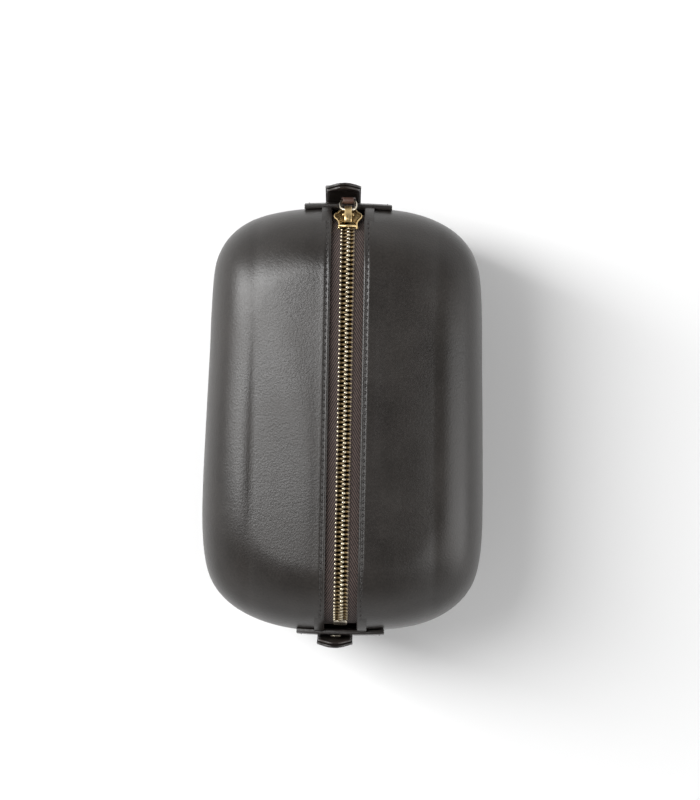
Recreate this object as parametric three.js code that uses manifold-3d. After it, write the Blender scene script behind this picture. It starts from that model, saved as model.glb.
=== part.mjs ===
// Shaving kit bag: a leather dopp kit with a zip along the top.
// Millimetres, +Z up, length along Y. The origin is the middle of the base, on the floor.
// The body is a rounded box. Each layer of it is the same shape moved inwards by a depth.

import * as THREE from 'three';
import { mergeVertices } from 'three/addons/utils/BufferGeometryUtils.js';
import Module from 'manifold-3d';

const wasm = await Module();
wasm.setup();

// Body
const LENGTH = 238;            // over the leather, along Y
const WIDTH = 154;             // over the leather, along X
const HEIGHT = 135;
const SIDE_POWER = 3;          // how square the plan outline is along X and along Y
const END_POWER = 6;
const END_RADIUS = 39;         // rounding of the top towards each end
const SHOULDER_WIDTH = 27;     // rounding of the top towards each side
const SHOULDER_DROP = 30;
const CROWN = 6;               // how far the top slopes from the zip to the shoulder
const FOOT_TUCK = 1.5;         // how far the walls draw in at the foot
const FOOT_STRAIGHT = 4.4;     // height where the walls start to spread
const FOOT_HEIGHT = 16;

// Layers
const GAP = 0.3;               // between pieces that touch
const LEATHER = 2.2;
const TAPE = 0.8;
const LINING = 0.8;
const BASE_LEATHER = 2.4;
const BOARD = 1.6;

// Zip
const SLOT_HALF = 9;           // leather edge on each side of the zip
const TAPE_HALF = 16;
const TOOTH_PITCH = 2.5;
const CHAIN_HALF = 4;
const TOOTH_TIP = 0.8;         // how far a tooth reaches past the middle
const TOOTH_ROOT = 1.6;
const CHAIN_THICK = 3.2;
const CHAIN_TAIL = 7;          // from the slot's end to the first tooth
const CHAIN_HEAD = 4.5;        // from the slider's middle to the last tooth
const STOP_LENGTH = 3;
const BOTTOM_STOP_HALF = 3.2;
const TOP_STOP_INNER = 2.2;
const TOP_STOP_AHEAD = 7.2;    // from the slider's middle to the middle of the top stops
const SLOT_DROP = 25;          // how far down each end the slot runs
const SLOT_END = 2;            // the leather is cut this much further down than the zip goes
const LINING_SLOT_END = 4;
const FLAP_HALF_LENGTH = 100;
const FLAP_DEPTH = 34;         // depth of the window that divides a flap from its wall
const HINGE_X = 56;            // fold line of each half of the top

// Slider and pull
const SLIDER_REST = 0.4;       // from the slider's nose to the end of the slot when it is closed
const SLIDER_LENGTH = 18;
const SLIDER_HALF = 8;
const SLIDER_NECK_HALF = 5.5;
const SLIDER_PLATE = 1.5;
const SLIDER_REACH = 0.3;      // clearance of the plates over the chain
const POST_HALF = 1.4;         // the post joins the slider's plates ahead of the chain
const POST_BACK = 3.6;
const POST_FRONT = 0.4;
const OVERLAP = 0.2;           // how far parts of one solid run into each other
const PIN_LIFT = 4.75;
const PIN_RADIUS = 0.8;
const PIN_LENGTH = 6.4;
const LOOP_START = 3;
const LOOP_LENGTH = 10;
const LOOP_HALF = 5;
const LOOP_BAR = 1.5;
const LOOP_CORNER = 2.4;
const BRIDGE_HALF = 2;
const BRIDGE_MIDDLE = 0.9;     // ahead of the slider's middle
const BRIDGE_REACH = 7.1;
const BRIDGE_CLEAR = 0.66;     // from the loop's bar to the arch above it
const BRIDGE_FOOT = 1.4;       // thickness of the arch at its feet and at its top
const BRIDGE_CREST = 1.2;
const STRAP_HALF = 4;
const STRAP_DROP = 38.5;       // depth of the strap's loose end below the top of the bag
const STRAP_NOTCH = 1.2;       // the strap is narrow this far past its fold
const STRAP_PLY = 0.8;
const STRAP_BORE = LOOP_BAR * Math.SQRT1_2 + GAP;   // radius of the fold round the loop's bar
const STRAP_FOLD = STRAP_BORE + STRAP_PLY;

// Ends
const PATCH_HALF = 24.5;
const PATCH_THICK = 2.5;
const PATCH_BOTTOM = 72;       // depth of its lower edge below the top of the bag
const PATCH_TOP = 28;
const RIVET_RADIUS = 3;
const RIVET_X = -2.5;
const RIVET_DROP = 32.5;
const RIVET_RIM = 0.3;         // straight edge of the rivet, and the dome above it
const RIVET_DOME = 0.7;
const TAB_HALF = 10;
const TAB_PLY = 1.4;
const TAB_ROOT = 52;           // depths below the top of the bag
const TAB_TOP = 16;
const TAB_CUP = 2.4;
const TAB_BEND = 0.55;         // share of the tab's height where it stops leaning and starts to cup
const TAB_LEAN = { front: 1.4, rear: 5.8 };
const TAB_SHIFT = -3;
const ANCHOR_HEIGHT = 10;

// Welt and pocket
const WELT_WIDE = 2.4;
const WELT_TALL = 3.2;
const WELT_LIFT = 0.5;         // height of its underside over the floor
const BASE_INSET = 0.2;        // from the foot of the walls to the edge of the base
const POCKET_HALF_LENGTH = 60;
const POCKET_DROP = 61;        // from the top of the bag to the top of the cloth
const BINDING_TALL = 4;
const BINDING_SIDE = 0.4;      // how far the binding stands out on each side of the cloth
const POCKET_BOTTOM = 14;
const POCKET_CLOTH = 1;
const POCKET_SPACE = 0.4;      // from the lining to the back of the cloth

const TOP_RINGS = [0.62, 0.3, 0.08];   // shares of the flat top where its surface has rings
const DOME_STEPS = 6;          // facets of the leather's rounding, from wall to top
const TAU = Math.PI * 2;
const radians = (degrees) => degrees * Math.PI / 180;
const group = new THREE.Group();

// --- Materials -------------------------------------------------------------

const LEATHER_LOOK = { color: 0x38332f, roughness: 0.5, metalness: 0 };
const EDGE_LOOK = { color: 0x221d19, roughness: 0.6, metalness: 0 };
const LINING_LOOK = { color: 0x4a3a2a, roughness: 0.9, metalness: 0 };
const TAPE_LOOK = { color: 0x41342f, roughness: 0.9, metalness: 0 };
const BRASS_LOOK = { color: 0x8f7a45, roughness: 0.35, metalness: 1 };
const BOARD_LOOK = { color: 0x6b5a44, roughness: 0.9, metalness: 0 };

function addPart(name, geometry, look) {
  const mesh = new THREE.Mesh(geometry, new THREE.MeshStandardMaterial(look));
  mesh.name = name;
  group.add(mesh);
  return mesh;
}

// --- Solids ----------------------------------------------------------------

function signedVolume(points, faces) {
  let total = 0;
  for (const [a, b, c] of faces) {
    total += points[a].dot(new THREE.Vector3().crossVectors(points[b], points[c]));
  }
  return total;
}

// A closed body from rings that have the same number of points.
function loft(rings) {
  const count = rings[0].length;
  const points = rings.flat();
  const faces = [];
  for (let ring = 0; ring + 1 < rings.length; ring++) {
    for (let i = 0; i < count; i++) {
      const a = ring * count + i;
      const b = ring * count + (i + 1) % count;
      faces.push([a, b, b + count], [a, b + count, a + count]);
    }
  }
  const last = (rings.length - 1) * count;
  for (let i = 1; i + 1 < count; i++) {
    faces.push([0, i + 1, i], [last, last + i, last + i + 1]);
  }
  const turned = signedVolume(points, faces) < 0;
  const geometry = new THREE.BufferGeometry();
  geometry.setAttribute('position', new THREE.Float32BufferAttribute(points.flatMap((p) => p.toArray()), 3));
  geometry.setIndex(faces.flatMap(([a, b, c]) => (turned ? [a, c, b] : [a, b, c])));
  return geometry;
}

function solidOf(geometry) {
  const plain = geometry.index ? geometry.clone() : geometry;
  plain.deleteAttribute('normal');
  plain.deleteAttribute('uv');
  const merged = mergeVertices(plain, 1e-4);
  return new wasm.Manifold(new wasm.Mesh({
    numProp: 3,
    vertProperties: Float32Array.from(merged.attributes.position.array),
    triVerts: Uint32Array.from(merged.index.array),
  }));
}

function geometryOf(solid) {
  const mesh = solid.getMesh();
  const geometry = new THREE.BufferGeometry();
  geometry.setAttribute('position', new THREE.BufferAttribute(mesh.vertProperties, 3));
  geometry.setIndex(new THREE.BufferAttribute(mesh.triVerts, 1));
  return geometry;
}

function box(low, high) {
  const size = high.map((value, i) => value - low[i]);
  return new THREE.BoxGeometry(...size).translate(...low.map((value, i) => value + size[i] / 2));
}

const boxSolid = (low, high) => solidOf(box(low, high));

// --- Body shape ------------------------------------------------------------

const HALF = new THREE.Vector2(WIDTH / 2, LENGTH / 2);
const FLAT = new THREE.Vector2(HALF.x - SHOULDER_WIDTH, HALF.y - END_RADIUS);
const EQUATOR = HEIGHT - END_RADIUS;

// How far the plan outline reaches along Y at a given x, as a share of its reach at x = 0.
const endShare = (x) => (1 - Math.min(Math.abs(x) / HALF.x, 1) ** SIDE_POWER) ** (1 / END_POWER);

const topHeight = (x) => HEIGHT - CROWN * Math.min(Math.abs(x) / FLAT.x, 1) ** 2;

// Points spread evenly round the plan outline, as shares of its half width and half length.
function outline(count) {
  const fine = [];
  for (let i = 0; i <= 2000; i++) {
    const c = Math.cos(TAU * i / 2000);
    const s = Math.sin(TAU * i / 2000);
    fine.push([
      Math.sign(c) * Math.abs(c) ** (2 / SIDE_POWER),
      Math.sign(s) * Math.abs(s) ** (2 / END_POWER),
    ]);
  }
  const reach = [0];
  for (let i = 1; i < fine.length; i++) {
    const step = Math.hypot((fine[i][0] - fine[i - 1][0]) * HALF.x, (fine[i][1] - fine[i - 1][1]) * HALF.y);
    reach.push(reach[i - 1] + step);
  }
  const points = [];
  let at = 0;
  for (let k = 0; k < count; k++) {
    const target = reach.at(-1) * k / count;
    while (reach[at + 1] < target) at++;
    const t = (target - reach[at]) / (reach[at + 1] - reach[at]);
    points.push([
      fine[at][0] + (fine[at + 1][0] - fine[at][0]) * t,
      fine[at][1] + (fine[at + 1][1] - fine[at][1]) * t,
    ]);
  }
  return points;
}

// The whole bag as a solid, moved inwards by a depth and standing on a given height.
function bagSolid(depth, floor, around, domeSteps) {
  const shares = outline(around);
  const wall = (z, tuck) => shares.map(([cx, cy]) => new THREE.Vector3(
    cx * (HALF.x - depth - tuck), cy * (HALF.y - depth - tuck), z));
  const straight = Math.max(floor + 1, FOOT_STRAIGHT);
  const rings = [wall(floor, FOOT_TUCK), wall(straight, FOOT_TUCK), wall(FOOT_HEIGHT, 0)];
  for (let step = 0; step <= domeSteps; step++) {
    const angle = Math.PI / 2 * step / domeSteps;
    const reachX = FLAT.x + (SHOULDER_WIDTH - depth) * Math.cos(angle);
    const reachY = FLAT.y + (END_RADIUS - depth) * Math.cos(angle);
    rings.push(shares.map(([cx, cy]) => {
      const drop = THREE.MathUtils.lerp(SHOULDER_DROP, END_RADIUS, cy ** 6) - depth;
      const x = cx * reachX;
      return new THREE.Vector3(x, cy * reachY, topHeight(x) - depth - drop * (1 - Math.sin(angle)));
    }));
  }
  for (const share of TOP_RINGS) {
    rings.push(shares.map(([cx, cy]) => new THREE.Vector3(
      cx * FLAT.x * share, cy * FLAT.y * share, topHeight(cx * FLAT.x * share) - depth)));
  }
  return solidOf(loft(rings));
}

function shell(depth, thickness, floor, around, domeSteps) {
  const outer = bagSolid(depth, floor, around, domeSteps);
  const inner = bagSolid(depth + thickness, floor - 1, around, domeSteps);
  return outer.subtract(inner);
}

const FAR = 400;

// Half of the space on one side (-1 left, 1 right), starting a little off the middle plane.
function halfSpace(side, start) {
  const [low, high] = [side * start, side * FAR].sort((a, b) => a - b);
  return boxSolid([low, -FAR, -FAR], [high, FAR, FAR]);
}

// The window in the top where a flap lies, on one side.
function flapWindow(side, inner, outer, halfLength) {
  const x = [side * inner, side * outer].sort((a, b) => a - b);
  return boxSolid([x[0], -halfLength, HEIGHT - FLAP_DEPTH], [x[1], halfLength, HEIGHT + 10]);
}

const slotBlock = (half, drop) => boxSolid([-half, -FAR, HEIGHT - drop], [half, FAR, HEIGHT + 10]);

// --- Leather ---------------------------------------------------------------

const WALL_FLOOR = BASE_LEATHER + GAP;
const leather = shell(0, LEATHER, WALL_FLOOR, 40, DOME_STEPS);
const SIDES = [['left', -1], ['right', 1]];

for (const [name, side] of SIDES) {
  const flap = leather.intersect(flapWindow(side, SLOT_HALF, HINGE_X, FLAP_HALF_LENGTH));
  const wall = leather
    .intersect(halfSpace(side, GAP / 2))
    .subtract(flapWindow(side, 0, HINGE_X + GAP, FLAP_HALF_LENGTH + GAP))
    .subtract(slotBlock(SLOT_HALF, SLOT_DROP + SLOT_END));
  addPart(`top_flap_${name}`, geometryOf(flap), LEATHER_LOOK);
  addPart(`side_panel_${name}`, geometryOf(wall), LEATHER_LOOK);
}

// --- Lining ----------------------------------------------------------------

const LINING_DEPTH = LEATHER + GAP + TAPE + GAP;
const LINING_FLOOR = WALL_FLOOR + BOARD + GAP + LINING + GAP;
const lining = shell(LINING_DEPTH, LINING, LINING_FLOOR, 28, 4);
const LINING_SLOT = SLOT_HALF + 1;

for (const [name, side] of SIDES) {
  const flap = lining.intersect(flapWindow(side, LINING_SLOT, HINGE_X - 3, FLAP_HALF_LENGTH - 3));
  const wall = lining
    .intersect(halfSpace(side, GAP / 2))
    .subtract(flapWindow(side, 0, HINGE_X + GAP, FLAP_HALF_LENGTH + GAP))
    .subtract(slotBlock(LINING_SLOT, SLOT_DROP + LINING_SLOT_END));
  addPart(`flap_lining_${name}`, geometryOf(flap), LINING_LOOK);
  addPart(`lining_${name}`, geometryOf(wall), LINING_LOOK);
}

// --- Base ------------------------------------------------------------------

function plateShape(inset, count) {
  return outline(count).map(([cx, cy]) => new THREE.Vector2(cx * (HALF.x - inset), cy * (HALF.y - inset)));
}

function plate(inset, low, thickness) {
  const shape = new THREE.Shape(plateShape(inset, 40));
  return new THREE.ExtrudeGeometry(shape, { depth: thickness, bevelEnabled: false }).translate(0, 0, low);
}

function weltGeometry() {
  const inner = FOOT_TUCK - GAP;
  const shape = new THREE.Shape(plateShape(inner - WELT_WIDE, 40));
  shape.holes.push(new THREE.Path(plateShape(inner, 40)));
  return new THREE.ExtrudeGeometry(shape, { depth: WELT_TALL, bevelEnabled: false })
    .translate(0, 0, WELT_LIFT);
}

addPart('base_panel', plate(FOOT_TUCK + BASE_INSET, 0, BASE_LEATHER), LEATHER_LOOK);
addPart('base_welt', weltGeometry(), EDGE_LOOK);
addPart('base_board', plate(LINING_DEPTH + FOOT_TUCK, WALL_FLOOR, BOARD), BOARD_LOOK);
addPart('base_lining', plate(LINING_DEPTH + FOOT_TUCK, WALL_FLOOR + BOARD + GAP, LINING), LINING_LOOK);

// --- Zip -------------------------------------------------------------------

const PATH_DEPTH = LEATHER + GAP + TAPE / 2;
const PATH_RADIUS = END_RADIUS - PATH_DEPTH;
const PATCH_FACE = END_RADIUS + GAP + PATCH_THICK;

// A point beside the zip: distance s along it from the middle, x across, lift above its plane.
function besideZip(s, x, lift) {
  const past = Math.max(Math.abs(s) - FLAT.y, 0);
  const angle = past / PATH_RADIUS;
  const radius = PATH_RADIUS + lift;
  const y = (Math.min(Math.abs(s), FLAT.y) + radius * Math.sin(angle)) * endShare(x);
  const drop = END_RADIUS - radius * Math.cos(angle);
  return new THREE.Vector3(x, Math.sign(s) * y, topHeight(x) - drop);
}

const SLOT_END_S = FLAT.y + PATH_RADIUS * Math.acos(1 - SLOT_DROP / END_RADIUS);
const SLIDER_S = SLOT_END_S - SLIDER_REST - SLIDER_LENGTH / 2;
const SLIDER_ANGLE = (SLIDER_S - FLAT.y) / PATH_RADIUS;

// The loop lies as high over the zip as the strap's fold needs to clear the end patch.
const LOOP_END = LOOP_START + LOOP_LENGTH;
const LOOP_LIFT = Math.sqrt((PATCH_FACE + STRAP_FOLD + GAP) ** 2 - LOOP_END ** 2) - PATH_RADIUS;
const CHAIN_LOW = -SLOT_END_S + CHAIN_TAIL;
const CHAIN_HIGH = SLIDER_S + CHAIN_HEAD;

// A strip laid along the zip between two edges, each a function of s.
function zipStrip(stations, edgeA, edgeB, low, high, sag = () => 0) {
  return loft(stations.map((s) => [
    besideZip(s, edgeA(s), low - sag(s)), besideZip(s, edgeA(s), high - sag(s)),
    besideZip(s, edgeB(s), high - sag(s)), besideZip(s, edgeB(s), low - sag(s)),
  ]));
}

// How far inside its arc a facet of the leather's rounding lies, at a distance s along the zip.
function facetSag(s) {
  const step = Math.PI / 2 / DOME_STEPS;
  const angle = Math.max(Math.abs(s) - FLAT.y, 0) / PATH_RADIUS;
  return PATH_RADIUS * (1 - Math.cos(step / 2) / Math.cos(angle % step - step / 2));
}

function spread(from, to, steps) {
  return Array.from({ length: steps + 1 }, (_, i) => from + (to - from) * i / steps);
}

// The tape turns down the ends in the same steps as the leather above it.
function tapeStations() {
  const last = (SLOT_END_S - 1 - FLAT.y) / PATH_RADIUS;
  const angles = spread(0, Math.PI / 2, DOME_STEPS).filter((angle) => angle < last);
  const ends = [...angles, last].map((angle) => FLAT.y + PATH_RADIUS * angle);
  return [...ends.map((s) => -s).reverse(), 0, ...ends];
}

function chainGeometry(side) {
  const half = TOOTH_PITCH / 2;
  const steps = Math.floor((CHAIN_HIGH - CHAIN_LOW) / half);
  const stations = spread(CHAIN_LOW, CHAIN_LOW + steps * half, steps);
  const reach = (s) => {
    const odd = Math.round((s - CHAIN_LOW) / half) % 2 === 1;
    return side * (odd === (side > 0) ? -TOOTH_TIP : TOOTH_ROOT);
  };
  return zipStrip(stations, reach, () => side * CHAIN_HALF, -CHAIN_THICK / 2, CHAIN_THICK / 2);
}

// The teeth grip the edge of the tape, so the tape starts just outside them here.
for (const [name, side] of SIDES) {
  const inner = () => side * (CHAIN_HALF + GAP);
  const outer = () => side * TAPE_HALF;
  const tape = zipStrip(tapeStations(), inner, outer, -TAPE / 2, TAPE / 2, facetSag);
  addPart(`zip_tape_${name}`, tape, TAPE_LOOK);
  addPart(`zip_teeth_${name}`, chainGeometry(side), BRASS_LOOK);
}

function stopGeometry(s, low, high) {
  const stations = [s - STOP_LENGTH / 2, s + STOP_LENGTH / 2];
  return zipStrip(stations, () => low, () => high, -CHAIN_THICK / 2, CHAIN_THICK / 2);
}

const TOP_STOP_S = SLIDER_S + TOP_STOP_AHEAD;
const BOTTOM_STOP_S = CHAIN_LOW - STOP_LENGTH / 2 - GAP;
addPart('zip_bottom_stop', stopGeometry(BOTTOM_STOP_S, -BOTTOM_STOP_HALF, BOTTOM_STOP_HALF), BRASS_LOOK);
addPart('zip_top_stop_left', stopGeometry(TOP_STOP_S, -CHAIN_HALF, -TOP_STOP_INNER), BRASS_LOOK);
addPart('zip_top_stop_right', stopGeometry(TOP_STOP_S, TOP_STOP_INNER, CHAIN_HALF), BRASS_LOOK);

// --- Slider ----------------------------------------------------------------

// The slider's own frame: x across, y along the zip towards the closed end, z away from the bag.
const sliderPlace = besideZip(SLIDER_S, 0, 0);

function ontoSlider(geometry) {
  return geometry.rotateX(-SLIDER_ANGLE).translate(0, sliderPlace.y, sliderPlace.z);
}

function sliderOutline() {
  const shape = new THREE.Shape();
  const end = SLIDER_LENGTH / 2;
  shape.moveTo(-SLIDER_NECK_HALF, -end);
  shape.lineTo(SLIDER_NECK_HALF, -end);
  shape.quadraticCurveTo(SLIDER_NECK_HALF, 0, SLIDER_HALF, end * 0.45);
  shape.quadraticCurveTo(SLIDER_HALF, end, SLIDER_HALF * 0.5, end);
  shape.lineTo(-SLIDER_HALF * 0.5, end);
  shape.quadraticCurveTo(-SLIDER_HALF, end, -SLIDER_HALF, end * 0.45);
  shape.quadraticCurveTo(-SLIDER_NECK_HALF, 0, -SLIDER_NECK_HALF, -end);
  return shape;
}

const SLIDER_SAG = (SLIDER_LENGTH / 2) ** 2 / (2 * PATH_RADIUS);
const PLATE_LOW = CHAIN_THICK / 2 + SLIDER_REACH;
const UNDER_TOP = -CHAIN_THICK / 2 - SLIDER_SAG - SLIDER_REACH;

function sliderGeometry() {
  const slab = (low) => solidOf(new THREE.ExtrudeGeometry(sliderOutline(), {
    depth: SLIDER_PLATE, bevelEnabled: false, curveSegments: 5,
  }).translate(0, 0, low));
  const end = SLIDER_LENGTH / 2;
  const post = boxSolid(
    [-POST_HALF, end - POST_BACK, UNDER_TOP - OVERLAP], [POST_HALF, end - POST_FRONT, PLATE_LOW + OVERLAP]);
  let body = slab(PLATE_LOW).add(slab(UNDER_TOP - SLIDER_PLATE)).add(post);
  for (const side of [-1, 1]) {
    const x = [side * (CHAIN_HALF + GAP), side * SLIDER_NECK_HALF].sort((a, b) => a - b);
    body = body.add(boxSolid([x[0], -end, TAPE / 2 + GAP], [x[1], 0, PLATE_LOW + OVERLAP]));
  }
  return geometryOf(body);
}

const PLATE_HIGH = PLATE_LOW + SLIDER_PLATE;

function bridgeGeometry() {
  const middle = BRIDGE_MIDDLE;
  const foot = PLATE_HIGH + GAP;
  const inside = LOOP_LIFT + LOOP_BAR / 2 + BRIDGE_CLEAR - foot;
  const reach = BRIDGE_REACH - BRIDGE_FOOT;
  const shape = new THREE.Shape();
  shape.moveTo(middle + BRIDGE_REACH, foot);
  shape.absellipse(middle, foot, BRIDGE_REACH, inside + BRIDGE_CREST, 0, Math.PI, false, 0);
  shape.lineTo(middle - reach, foot);
  shape.absellipse(middle, foot, reach, inside, Math.PI, 0, true, 0);
  const arch = new THREE.ExtrudeGeometry(shape, {
    depth: 2 * BRIDGE_HALF, bevelEnabled: false, curveSegments: 12,
  });
  arch.applyMatrix4(new THREE.Matrix4().makeBasis(
    new THREE.Vector3(0, 1, 0), new THREE.Vector3(0, 0, 1), new THREE.Vector3(1, 0, 0)));
  return arch.translate(-BRIDGE_HALF, 0, 0);
}

function pinGeometry() {
  return new THREE.CylinderGeometry(PIN_RADIUS, PIN_RADIUS, PIN_LENGTH, 12)
    .rotateZ(Math.PI / 2).translate(0, 0, PIN_LIFT);
}

function roundedFrame(half, low, high, corner) {
  const path = new THREE.Shape();
  path.moveTo(-half + corner, low);
  path.lineTo(half - corner, low);
  path.quadraticCurveTo(half, low, half, low + corner);
  path.lineTo(half, high - corner);
  path.quadraticCurveTo(half, high, half - corner, high);
  path.lineTo(-half + corner, high);
  path.quadraticCurveTo(-half, high, -half, high - corner);
  path.lineTo(-half, low + corner);
  path.quadraticCurveTo(-half, low, -half + corner, low);
  return path;
}

function loopGeometry() {
  const bar = LOOP_BAR / 2;
  const shape = roundedFrame(LOOP_HALF, LOOP_START - bar, LOOP_END + bar, LOOP_CORNER);
  const inner = LOOP_HALF - LOOP_BAR;
  shape.holes.push(roundedFrame(inner, LOOP_START + bar, LOOP_END - bar, LOOP_CORNER / 2));
  return new THREE.ExtrudeGeometry(shape, { depth: LOOP_BAR, bevelEnabled: false, curveSegments: 3 })
    .translate(0, 0, LOOP_LIFT - bar);
}

addPart('slider_body', ontoSlider(sliderGeometry()), BRASS_LOOK);
addPart('slider_bridge', ontoSlider(bridgeGeometry()), BRASS_LOOK);
addPart('slider_pin', ontoSlider(pinGeometry()), BRASS_LOOK);
addPart('pull_loop', ontoSlider(loopGeometry()), BRASS_LOOK);

// --- Pull strap ------------------------------------------------------------

// A profile in the plane of Y and Z, made solid across X.
function acrossX(shape, low, high) {
  const geometry = new THREE.ExtrudeGeometry(shape, {
    depth: high - low, bevelEnabled: false, curveSegments: 14,
  });
  geometry.applyMatrix4(new THREE.Matrix4().makeBasis(
    new THREE.Vector3(0, 1, 0), new THREE.Vector3(0, 0, 1), new THREE.Vector3(1, 0, 0)));
  return geometry.translate(low, 0, 0);
}

// Angles are from the top of the end rounding, about its centre.
function endBand(innerRadius, outerRadius, fromAngle, toAngle, low, high) {
  const [start, stop] = [Math.PI / 2 - radians(toAngle), Math.PI / 2 - radians(fromAngle)];
  const shape = new THREE.Shape();
  shape.absarc(FLAT.y, EQUATOR, outerRadius, start, stop, false);
  shape.absarc(FLAT.y, EQUATOR, innerRadius, stop, start, true);
  return solidOf(acrossX(shape, low, high));
}

const loopEnd = new THREE.Vector3(0, LOOP_END, LOOP_LIFT)
  .applyAxisAngle(new THREE.Vector3(1, 0, 0), -SLIDER_ANGLE).add(sliderPlace);
const loopEndAngle = 90 - Math.atan2(loopEnd.z - EQUATOR, loopEnd.y - FLAT.y) * 180 / Math.PI;

function eye(radius, low, high) {
  const shape = new THREE.Shape();
  shape.absarc(loopEnd.y, loopEnd.z, radius, 0, TAU, false);
  return solidOf(acrossX(shape, low, high));
}

const STRAP_END_ANGLE = Math.acos(1 - STRAP_DROP / END_RADIUS) * 180 / Math.PI;

function strapGeometry() {
  const inner = PATCH_FACE + GAP;
  const plyGap = inner + STRAP_PLY;
  const outer = plyGap + GAP + STRAP_PLY;
  const band = endBand(inner, outer, loopEndAngle, STRAP_END_ANGLE, -STRAP_HALF, STRAP_HALF);
  const slit = endBand(plyGap, plyGap + GAP, loopEndAngle - 1, STRAP_END_ANGLE + 1,
    -STRAP_HALF - 1, STRAP_HALF + 1);
  const window = LOOP_HALF - LOOP_BAR - GAP;
  const middle = band.intersect(boxSolid([-window, 0, 0], [window, FAR, FAR]));
  const sleeve = eye(STRAP_FOLD, -window, window).add(middle);
  const legs = band.subtract(eye(STRAP_FOLD + STRAP_NOTCH, -FAR, FAR));
  return geometryOf(sleeve.add(legs).subtract(slit).subtract(eye(STRAP_BORE, -FAR, FAR)));
}

addPart('pull_strap', strapGeometry(), LEATHER_LOOK);

// --- End patches -----------------------------------------------------------

// A point on an end: v up the end's profile from the start of its rounding, offset outwards.
function onEnd(end, x, v, offset) {
  const angle = Math.max(v, 0) / END_RADIUS;
  const radius = END_RADIUS + offset;
  const y = FLAT.y + radius * Math.cos(angle);
  const bow = HALF.y * (1 - endShare(x));
  return new THREE.Vector3(x, end * (y - bow), EQUATOR + Math.min(v, 0) + radius * Math.sin(angle));
}

const PATCH_HIGH_V = END_RADIUS * Math.asin((END_RADIUS - PATCH_TOP) / END_RADIUS);
const PATCH_LOW_V = END_RADIUS - PATCH_BOTTOM;
const PATCH_CORNER = 9;
const ACROSS = [-1, -0.6, -0.2, 0.2, 0.6, 1];

function patchGeometry(end) {
  const stations = [0, 0.9, 3, 6, PATCH_CORNER].map((rise) => PATCH_LOW_V + rise);
  stations.push(-10, ...spread(0, PATCH_HIGH_V, 4));
  return loft(stations.map((v) => {
    const left = Math.max(PATCH_CORNER - (v - PATCH_LOW_V), 0);
    const half = PATCH_HALF - PATCH_CORNER + Math.sqrt(PATCH_CORNER ** 2 - left ** 2);
    const outside = ACROSS.map((share) => onEnd(end, share * half, v, GAP + PATCH_THICK));
    const inside = ACROSS.map((share) => onEnd(end, share * half, v, GAP));
    return [...outside, ...inside.reverse()];
  }));
}

// --- Grab tabs -------------------------------------------------------------

const TAB_FACE = HALF.y + GAP + PATCH_THICK + GAP;

// One ply of a tab. It leans out from its root as far as its bend, and cups above that.
function tabPly(end, lean, offset, halfWidth, top) {
  const stations = [0, 0.2, 0.4, 0.6, 0.78, 0.9, 0.97, 1];
  const rise = TAB_ROOT - top;
  return loft(stations.map((t) => {
    const past = Math.max(t * rise - (rise - halfWidth), 0) / halfWidth;
    const half = Math.max(halfWidth * Math.sqrt(1 - Math.min(past, 1) ** 2), 2.4);
    const free = Math.max(t - TAB_BEND, 0) / (1 - TAB_BEND);
    const bowed = lean * Math.min(t / TAB_BEND, 1);
    const cup = TAB_CUP * free;
    const z = HEIGHT - TAB_ROOT + t * rise;
    const point = (share, depth) => new THREE.Vector3(
      TAB_SHIFT + share * half,
      end * (TAB_FACE + bowed + depth - cup * (share * half / TAB_HALF) ** 2), z);
    const outside = ACROSS.map((share) => point(share, offset + TAB_PLY));
    const inside = ACROSS.map((share) => point(share, offset));
    return [...outside, ...inside.reverse()];
  }));
}

function anchorGeometry(end) {
  const y = [end * TAB_FACE, end * (TAB_FACE + 2 * TAB_PLY + GAP)].sort((a, b) => a - b);
  const high = HEIGHT - TAB_ROOT - GAP;
  return box([TAB_SHIFT - TAB_HALF, y[0], high - ANCHOR_HEIGHT], [TAB_SHIFT + TAB_HALF, y[1], high]);
}

function rivetGeometry(end) {
  const profile = [new THREE.Vector2(0, 0), new THREE.Vector2(RIVET_RADIUS, 0)];
  for (let i = 1; i <= 4; i++) {
    const angle = Math.PI / 2 * i / 4;
    const radius = i < 4 ? RIVET_RADIUS * Math.cos(angle) : 0;
    profile.push(new THREE.Vector2(radius, RIVET_RIM + RIVET_DOME * Math.sin(angle)));
  }
  const v = END_RADIUS * Math.asin((END_RADIUS - RIVET_DROP) / END_RADIUS);
  const seat = onEnd(end, RIVET_X, v, 2 * GAP + PATCH_THICK);
  const geometry = new THREE.LatheGeometry(profile, 16);
  geometry.rotateX(end > 0 ? v / END_RADIUS : Math.PI - v / END_RADIUS);
  return geometry.translate(seat.x, seat.y, seat.z);
}

for (const [name, end] of [['front', -1], ['rear', 1]]) {
  const lean = TAB_LEAN[name];
  addPart(`end_patch_${name}`, patchGeometry(end), LEATHER_LOOK);
  addPart(`tab_anchor_${name}`, anchorGeometry(end), LEATHER_LOOK);
  addPart(`grab_tab_inner_${name}`, tabPly(end, lean, 0, TAB_HALF - 0.8, TAB_TOP + 0.8), EDGE_LOOK);
  addPart(`grab_tab_outer_${name}`, tabPly(end, lean, TAB_PLY + GAP, TAB_HALF, TAB_TOP), LEATHER_LOOK);
}
addPart('patch_rivet', rivetGeometry(-1), BRASS_LOOK);

// --- Slip pocket -----------------------------------------------------------

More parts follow.
